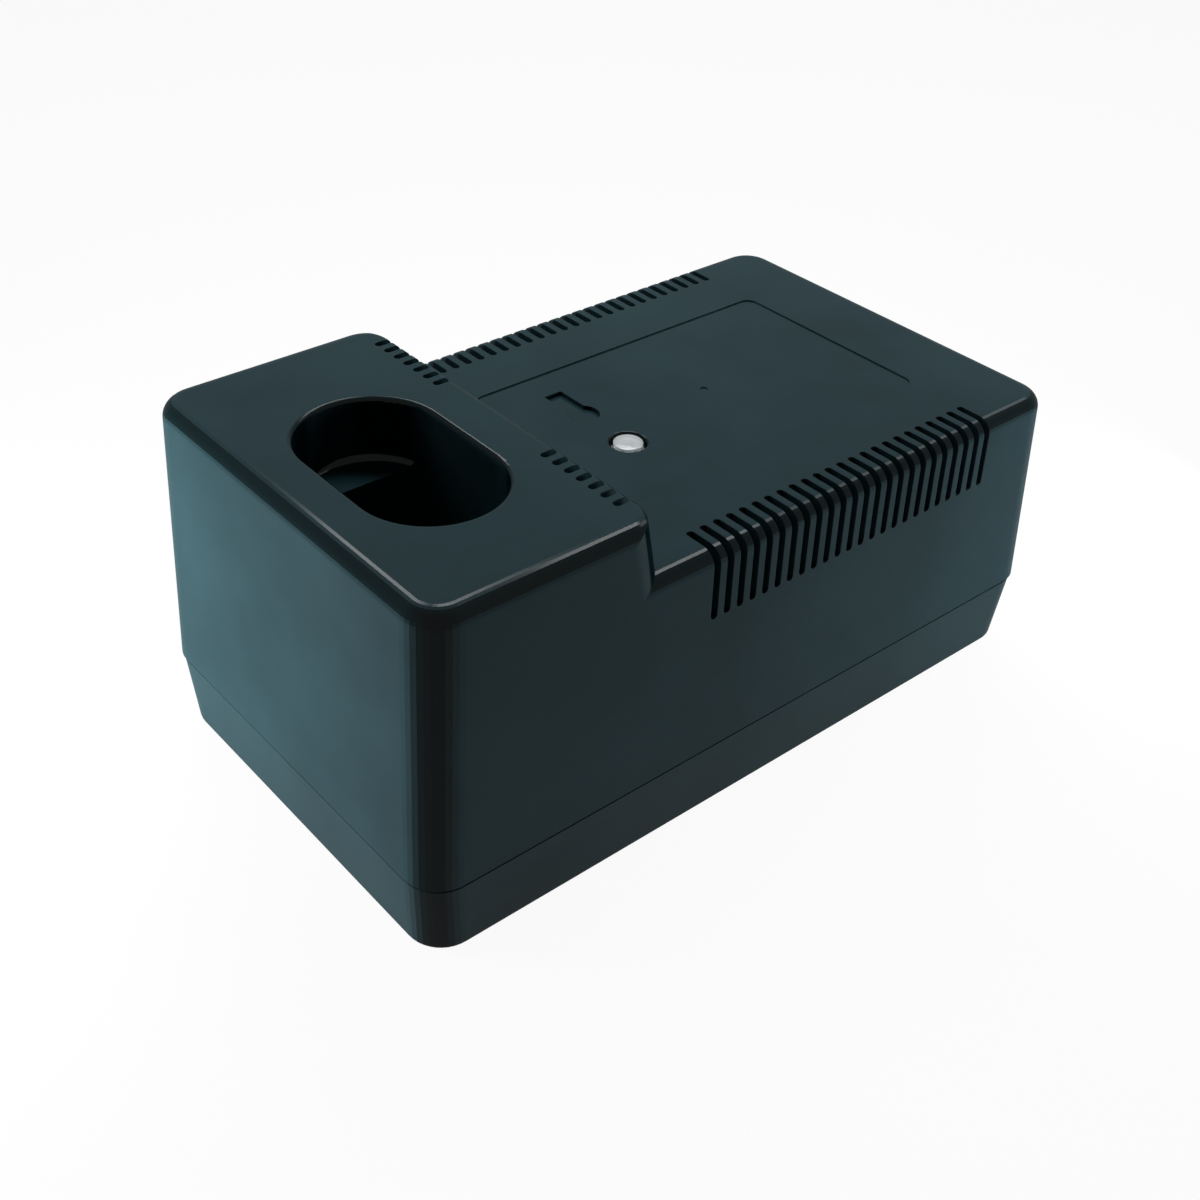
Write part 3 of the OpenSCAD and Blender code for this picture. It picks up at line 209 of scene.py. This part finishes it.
def moulded(name, rough):
    """Moulded plastic: a cloudy, finely grained haze on the flats and painted shade on the roundings, a darker
    colour standing in for their dark reflections.
    """
    cloud_scale = 20.0
    grain_scale = 2600.0
    grain_strength = 0.25
    grain_depth = 0.00002
    edge_radius = 0.0004
    smoother = 0.02
    rougher = 0.03
    s = Shader(name)
    cloud = s.noise(cloud_scale, detail=5.0)
    grain = s.noise(grain_scale, detail=2.0, rough=0.6)
    haze = s.mix(s.ramp(cloud, *CLOUD_RANGE, 0.0, 1.0), opaque(HAZE_DARK), opaque(HAZE_LIGHT))
    flat = s.ramp(s.flatness(), *FLATNESS_LIMITS, 0.0, 1.0, "SMOOTHSTEP")
    # Painted shade: roundings and upright corners take a darker colour in place of the haze.
    colour = s.mix(flat, opaque(ROUNDING_PAINTED_SHADE), haze)
    gloss = s.ramp(cloud, *CLOUD_RANGE, rough - smoother, rough + rougher)
    normal = s.bump(grain, grain_strength, grain_depth, s.rounded(edge_radius))
    p = s.principled(Base_Color=colour, Roughness=gloss, Normal=normal)
    p.inputs["Specular IOR Level"].default_value = 0.0
    p.inputs["Coat Weight"].default_value = COAT_WEIGHT
    p.inputs["Coat Roughness"].default_value = COAT_ROUGHNESS
    return s.material


def simple(name, colour, rough, metal=0.0):
    """An inner part's finish: a slightly cloudy colour and gloss with a fine grain."""
    cloud_scale = 60.0
    colour_spread = 0.12
    gloss_spread = 0.04
    grain_scale = 900.0
    grain_strength = 0.1
    grain_depth = 0.00003
    edge_radius = 0.0002
    s = Shader(name)
    cloud = s.noise(cloud_scale, detail=3.0)
    dark = opaque([c * (1 - colour_spread) for c in colour])
    light = opaque([min(1.0, c * (1 + colour_spread)) for c in colour])
    grain = s.noise(grain_scale, detail=2.0)
    normal = s.bump(grain, grain_strength, grain_depth, s.rounded(edge_radius))
    mottled = s.mix(cloud, dark, light)
    gloss = s.ramp(cloud, *CLOUD_RANGE, rough - gloss_spread, rough + gloss_spread)
    p = s.principled(Base_Color=mottled, Roughness=gloss, Normal=normal)
    p.inputs["Metallic"].default_value = metal
    return s.material


def clear(name, tint, rough):
    """Clear plastic or glass: cloudy between the tint and one halfway to white, with a faint unevenness."""
    cloud_scale = 300.0
    gloss_spread = 0.06
    bump_strength = 0.2
    bump_depth = 0.00002
    edge_radius = 0.0002
    s = Shader(name)
    cloud = s.noise(cloud_scale, detail=2.0)
    normal = s.bump(cloud, bump_strength, bump_depth, s.rounded(edge_radius))
    paler = opaque([0.5 + 0.5 * c for c in tint])
    mottled = s.mix(cloud, opaque(tint), paler)
    gloss = s.ramp(cloud, *CLOUD_RANGE, rough, rough + gloss_spread)
    p = s.principled(Base_Color=mottled, Roughness=gloss, Normal=normal)
    p.inputs["Transmission Weight"].default_value = CLEAR_TRANSMISSION
    p.inputs["IOR"].default_value = CLEAR_IOR
    return s.material


def make_materials():
    """One material for each of the record's material slots."""
    made = {}
    made["shell_plastic"] = moulded("shell_plastic", SHELL_ROUGHNESS)
    made["tray_plastic"] = moulded("tray_plastic", TRAY_ROUGHNESS)
    for slot, finish in FINISHES.items():
        made[slot] = simple(slot, *finish)
    made["clear_lens"] = clear("clear_lens", (0.60, 0.66, 0.68), 0.16)
    made["led_epoxy"] = clear("led_epoxy", (0.9, 0.92, 0.92), 0.05)
    made["fuse_glass"] = clear("fuse_glass", (0.9, 0.93, 0.92), 0.05)
    return made


def dress(materials):
    """Each CAD node gets the material of its slot."""
    slot_of = {row["node"]: row["material_slot"] for row in frame["record"]["subparts"]}
    for name, piece in nodes.items():
        mesh = piece.data
        mesh.materials.clear()
        mesh.materials.append(materials[slot_of[name]])


def smooth(piece):
    """Smooth shading on curved faces. Sharp edges stay sharp, and flat faces look flat."""
    for polygon in piece.data.polygons:
        polygon.use_smooth = True
    bpy.ops.object.select_all(action="DESELECT")
    piece.select_set(True)
    bpy.context.view_layer.objects.active = piece
    bpy.ops.mesh.customdata_custom_splitnormals_clear()
    bpy.ops.object.shade_smooth_by_angle(angle=math.radians(SHARP_ANGLE))
    weighted = piece.modifiers.new("weighted", "WEIGHTED_NORMAL")
    weighted.mode = "FACE_AREA"
    weighted.weight = NORMAL_WEIGHT
    weighted.keep_sharp = True


# ---------------------------------------------------------------- studio
def seen_directly(tree):
    """1 for rays from the camera, mirrored rays and rays through glass, else 0."""
    paths = tree.nodes.new("ShaderNodeLightPath")
    either = tree.nodes.new("ShaderNodeMath")
    either.operation = "ADD"
    any_of_them = tree.nodes.new("ShaderNodeMath")
    any_of_them.operation = "ADD"
    any_of_them.use_clamp = True
    tree.links.new(paths.outputs["Is Camera Ray"], either.inputs[0])
    tree.links.new(paths.outputs["Is Glossy Ray"], either.inputs[1])
    tree.links.new(either.outputs[0], any_of_them.inputs[0])
    tree.links.new(paths.outputs["Is Transmission Ray"], any_of_them.inputs[1])
    return any_of_them.outputs[0]


def mix_shaders(tree, share, first, second, out):
    """Sends the output node the first shader where share is 0, and the second where it is 1."""
    mix = tree.nodes.new("ShaderNodeMixShader")
    for socket, value in zip(mix.inputs, (share, first, second)):
        tree.links.new(value, socket)
    tree.links.new(mix.outputs[0], out.inputs["Surface"])


def make_floor():
    """A pale sheet that looks white and keeps a faint shadow of the object."""
    corners = [(x * FLOOR_HALF, y * FLOOR_HALF, 0) for x, y in ((-1, -1), (1, -1), (1, 1), (-1, 1))]
    mesh = bpy.data.meshes.new("floor")
    mesh.from_pydata(corners, [], [(0, 1, 2, 3)])
    floor = bpy.data.objects.new("floor", mesh)
    scene.collection.objects.link(floor)
    s = Shader("floor")
    paper = s.node("ShaderNodeBsdfDiffuse")
    paper.inputs["Color"].default_value = opaque(FLOOR_GREY)
    white = s.node("ShaderNodeEmission")
    white.inputs["Color"].default_value = opaque(WHITE)
    white.inputs["Strength"].default_value = SEEN_WHITE
    share = s.calculate("MULTIPLY", seen_directly(s.tree), FLOOR_WHITE_SHARE)
    mix_shaders(s.tree, share, paper.outputs[0], white.outputs[0], s.out)
    mesh.materials.append(s.material)


def background(tree, strength):
    n = tree.nodes.new("ShaderNodeBackground")
    n.inputs["Color"].default_value = opaque(WHITE)
    n.inputs["Strength"].default_value = strength
    return n.outputs[0]


def make_world():
    """White where it is seen or mirrored, and otherwise a weak, even light."""
    world = bpy.data.worlds.new("world")
    world.use_nodes = True
    tree = world.node_tree
    tree.nodes.clear()
    out = tree.nodes.new("ShaderNodeOutputWorld")
    mix_shaders(tree, seen_directly(tree), background(tree, ROOM_LIGHT), background(tree, SEEN_WHITE), out)
    scene.world = world


def soft_box(name, azimuth, elevation, distance, size, power, mirrored=True):
    """A square lamp aimed at the object: angles in degrees, distance and size in metres, power in watts."""
    a = math.radians(azimuth)
    e = math.radians(elevation)
    middle = Vector(LAMP_AIM)
    place = middle + distance * Vector((math.cos(a) * math.cos(e), math.sin(a) * math.cos(e), math.sin(e)))
    data = bpy.data.lights.new(name, "AREA")
    data.shape = "SQUARE"
    data.size = size
    data.energy = power
    box = bpy.data.objects.new(name, data)
    box.location = place
    box.rotation_euler = (middle - place).to_track_quat("-Z", "Y").to_euler()
    box.visible_camera = False
    box.visible_glossy = mirrored
    scene.collection.objects.link(box)


def make_lamps():
    """Four lamps that reflections leave out, for the upright faces, then four whose glints show on the edges."""
    soft_box("left_box", 155, 3, 0.28, 0.10, 1.61, mirrored=False)
    soft_box("left_top", 125, 38, 0.27, 0.12, 0.20, mirrored=False)
    soft_box("right_box", -23, 3, 0.22, 0.08, 0.50, mirrored=False)
    soft_box("front_box", -50, 5, 0.50, 0.16, 1.12, mirrored=False)
    soft_box("edge_box", 51, 65, 0.48, 0.14, 1.03)
    soft_box("ledge_box", 14, 60, 0.53, 0.12, 0.79)
    soft_box("rib_box", -1, 44, 0.65, 0.18, 0.58)
    soft_box("back_box", 86, 53, 0.50, 0.12, 0.83)


make_camera()
dress(make_materials())
for piece in nodes.values():
    smooth(piece)
make_floor()
make_world()
make_lamps()

scene.view_settings.view_transform = "Standard"
